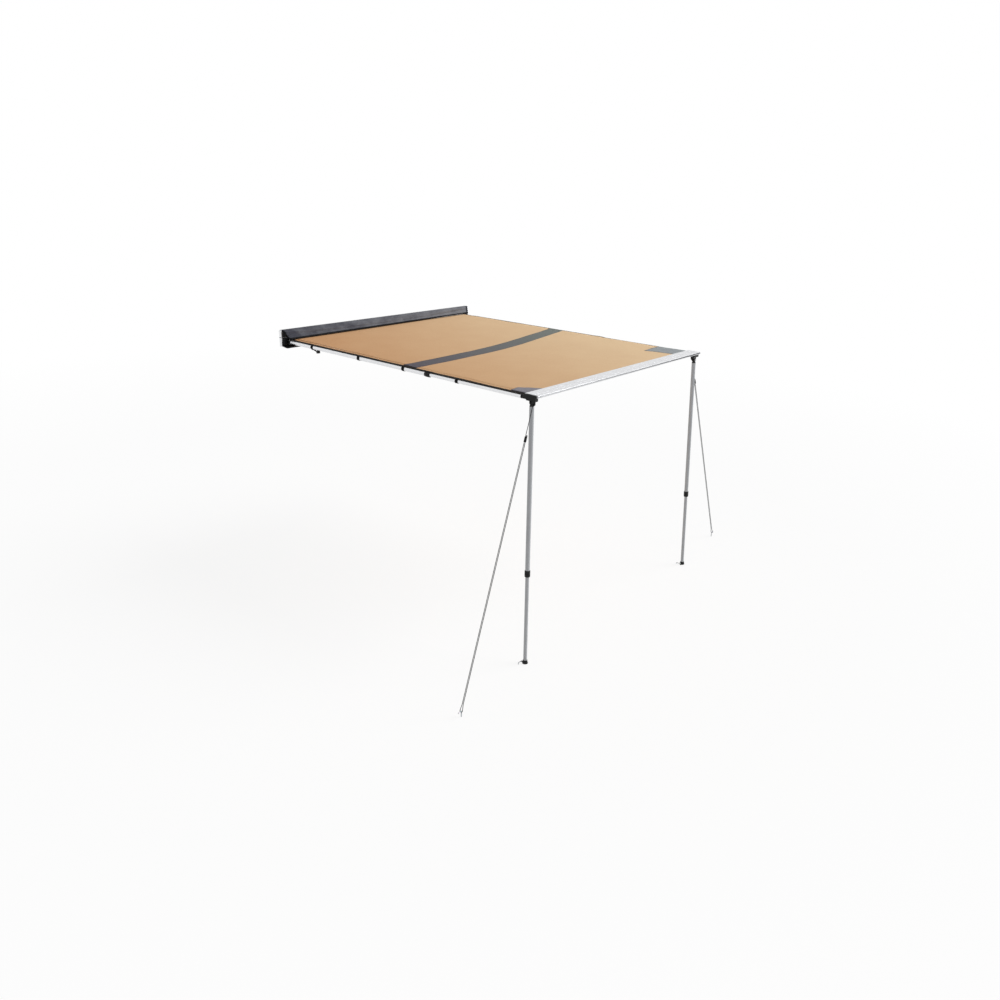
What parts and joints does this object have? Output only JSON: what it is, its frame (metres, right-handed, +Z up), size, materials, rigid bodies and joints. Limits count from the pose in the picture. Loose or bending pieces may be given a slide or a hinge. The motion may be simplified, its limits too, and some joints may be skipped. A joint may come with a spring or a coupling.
{
  "type": "vehicle side awning",
  "caption": "Pull-out side awning pitched from a rack board: cloth on telescopic arms, front rail on telescopic splayed legs, pegged feet and guy ropes with runners.",
  "frame": {"origin": "middle of the flat strip between the bolt tracks on the back board's rear face, where it meets the rack brackets", "axes": "+Y out of the board's rear face towards the vehicle, +Z up, +X along the vehicle; the cloth reaches out along -Y"},
  "size_m": [3.5915, 2.6231, 2.0687],
  "materials": {
    "board_aluminium": "clear anodised extrusion, fine lengthwise lines",
    "rail_aluminium": "bright anodised extrusion",
    "arm_tube": "satin anodised round tube",
    "leg_tube": "satin grey anodised round tube",
    "steel": "zinc plated wire and pins",
    "black_plastic": "moulded nylon, fine grain",
    "canopy_cloth": "tan coated ripstop cloth",
    "slate_cloth": "slate grey coated cloth",
    "patch_cloth": "grey sewn reinforcement",
    "hem_webbing": "dark sewn edge binding",
    "black_webbing": "black woven webbing",
    "bag_cloth": "near black heavy coated cloth",
    "rope_black": "black braided cord, grey in its upper part",
    "rope_grey": "grey braided cord"
  },
  "bodies": {
    "awning_frame": {"back_board": "board_aluminium", "board_end_cap_left": "board_aluminium", "board_end_cap_right": "board_aluminium", "bag_cover_flap": "slate_cloth", "bag_lower_panel": "bag_cloth", "canopy": "canopy_cloth", "canopy_centre_band": "slate_cloth", "corner_patch_left": "patch_cloth", "corner_patch_right": "patch_cloth", "side_hem_left": "hem_webbing", "side_hem_right": "hem_webbing", "front_rail": "rail_aluminium", "rail_corner_left": "black_plastic", "rail_corner_right": "black_plastic", "arm_bracket_left": "black_plastic", "arm_pin_left": "steel", "arm_strap_left_1": "black_webbing", "arm_strap_left_2": "black_webbing", "arm_strap_left_3": "black_webbing", "arm_strap_left_4": "black_webbing", "tie_strap_left": "black_webbing", "tie_buckle_left": "black_plastic", "leg_pin_left": "steel", "guy_rope_left": "rope_black", "arm_bracket_right": "black_plastic", "arm_pin_right": "steel", "arm_strap_right_1": "black_webbing", "arm_strap_right_2": "black_webbing", "arm_strap_right_3": "black_webbing", "arm_strap_right_4": "black_webbing", "tie_strap_right": "black_webbing", "tie_buckle_right": "black_plastic", "leg_pin_right": "steel", "guy_rope_right": "rope_grey"},
    "arm_left": {"arm_eye_left": "black_plastic", "arm_rear_tube_left": "arm_tube"},
    "arm_lock_left": {"arm_lock_collar_left": "black_plastic"},
    "arm_reach_left": {"arm_front_tube_left": "arm_tube", "arm_tongue_left": "black_plastic"},
    "leg_left": {"leg_knuckle_left": "black_plastic", "leg_upper_tube_left": "leg_tube"},
    "leg_lock_left": {"leg_lock_collar_left": "black_plastic"},
    "leg_reach_left": {"leg_lower_tube_left": "leg_tube", "leg_foot_left": "black_plastic"},
    "foot_peg_left": {"foot_peg_left": "steel"},
    "guy_runner_left": {"guy_runner_left": "black_plastic"},
    "guy_peg_left": {"guy_peg_left": "steel"},
    "arm_right": {"arm_eye_right": "black_plastic", "arm_rear_tube_right": "arm_tube"},
    "arm_lock_right": {"arm_lock_collar_right": "black_plastic"},
    "arm_reach_right": {"arm_front_tube_right": "arm_tube", "arm_tongue_right": "black_plastic"},
    "leg_right": {"leg_knuckle_right": "black_plastic", "leg_upper_tube_right": "leg_tube"},
    "leg_lock_right": {"leg_lock_collar_right": "black_plastic"},
    "leg_reach_right": {"leg_lower_tube_right": "leg_tube", "leg_foot_right": "black_plastic"},
    "foot_peg_right": {"foot_peg_right": "steel"},
    "guy_runner_right": {"guy_runner_right": "black_plastic"},
    "guy_peg_right": {"guy_peg_right": "steel"}
  },
  "joints": [
    {"name": "arm_swing_left", "type": "hinge", "parent": "awning_frame", "child": "arm_left", "pos_m": [-1, -0.054, -0.026], "axis": [0, 0, 1], "range_deg": [0, 90]},
    {"name": "arm_slide_left", "type": "slide", "parent": "arm_left", "child": "arm_reach_left", "axis": [0, 1, 0], "range_m": [0, 0.76]},
    {"name": "arm_lock_left", "type": "hinge", "parent": "arm_left", "child": "arm_lock_left", "pos_m": [-1, -1.568, -0.026], "axis": [0, -1, 0], "range_deg": [0, 90]},
    {"name": "leg_fold_left", "type": "hinge", "parent": "awning_frame", "child": "leg_left", "pos_m": [-0.968, -2.422, -0.062], "axis": [0, -0.9982, 0.0602], "range_deg": [0, 92]},
    {"name": "leg_slide_left", "type": "slide", "parent": "leg_left", "child": "leg_reach_left", "axis": [0.0492, 0.0601, 0.997], "range_m": [0, 0.57]},
    {"name": "leg_lock_left", "type": "hinge", "parent": "leg_left", "child": "leg_lock_left", "pos_m": [-1.02239, -2.48841, -1.16375], "axis": [-0.0492, -0.0601, -0.997], "range_deg": [0, 90]},
    {"name": "foot_peg_pull_left", "type": "slide", "parent": "leg_reach_left", "child": "foot_peg_left", "axis": [0.0492, 0.0601, 0.997], "range_m": [0, 0.15]},
    {"name": "guy_runner_slide_left", "type": "slide", "parent": "awning_frame", "child": "guy_runner_left", "axis": [-0.4084, -0.0811, -0.9092], "range_m": [0, 0.3]},
    {"name": "guy_peg_pull_left", "type": "slide", "parent": "awning_frame", "child": "guy_peg_left", "axis": [0, 0, 1], "range_m": [0, 0.2]},
    {"name": "arm_swing_right", "type": "hinge", "parent": "awning_frame", "child": "arm_right", "pos_m": [1, -0.106, -0.026], "axis": [0, 0, -1], "range_deg": [0, 90]},
    {"name": "arm_slide_right", "type": "slide", "parent": "arm_right", "child": "arm_reach_right", "axis": [0, 1, 0], "range_m": [0, 0.76]},
    {"name": "arm_lock_right", "type": "hinge", "parent": "arm_right", "child": "arm_lock_right", "pos_m": [1, -1.568, -0.026], "axis": [0, -1, 0], "range_deg": [0, 90]},
    {"name": "leg_fold_right", "type": "hinge", "parent": "awning_frame", "child": "leg_right", "pos_m": [0.968, -2.47, -0.062], "axis": [0, 0.9992, -0.0402], "range_deg": [0, 92]},
    {"name": "leg_slide_right", "type": "slide", "parent": "leg_right", "child": "leg_reach_right", "axis": [-0.0447, 0.0401, 0.9982], "range_m": [0, 0.57]},
    {"name": "leg_lock_right", "type": "hinge", "parent": "leg_right", "child": "leg_lock_right", "pos_m": [1.01734, -2.51428, -1.16396], "axis": [0.0447, -0.0401, -0.9982], "range_deg": [0, 90]},
    {"name": "foot_peg_pull_right", "type": "slide", "parent": "leg_reach_right", "child": "foot_peg_right", "axis": [-0.0447, 0.0401, 0.9982], "range_m": [0, 0.15]},
    {"name": "guy_runner_slide_right", "type": "slide", "parent": "awning_frame", "child": "guy_runner_right", "axis": [0.4081, -0.0051, -0.9129], "range_m": [0, 0.3]},
    {"name": "guy_peg_pull_right", "type": "slide", "parent": "awning_frame", "child": "guy_peg_right", "axis": [0, 0, 1], "range_m": [0, 0.2]}
  ],
  "couplings": [
    {"joint": "arm_slide_left", "follows": "arm_swing_left", "m_per_rad": 0.4838},
    {"joint": "arm_slide_right", "follows": "arm_swing_right", "m_per_rad": 0.4838}
  ]
}
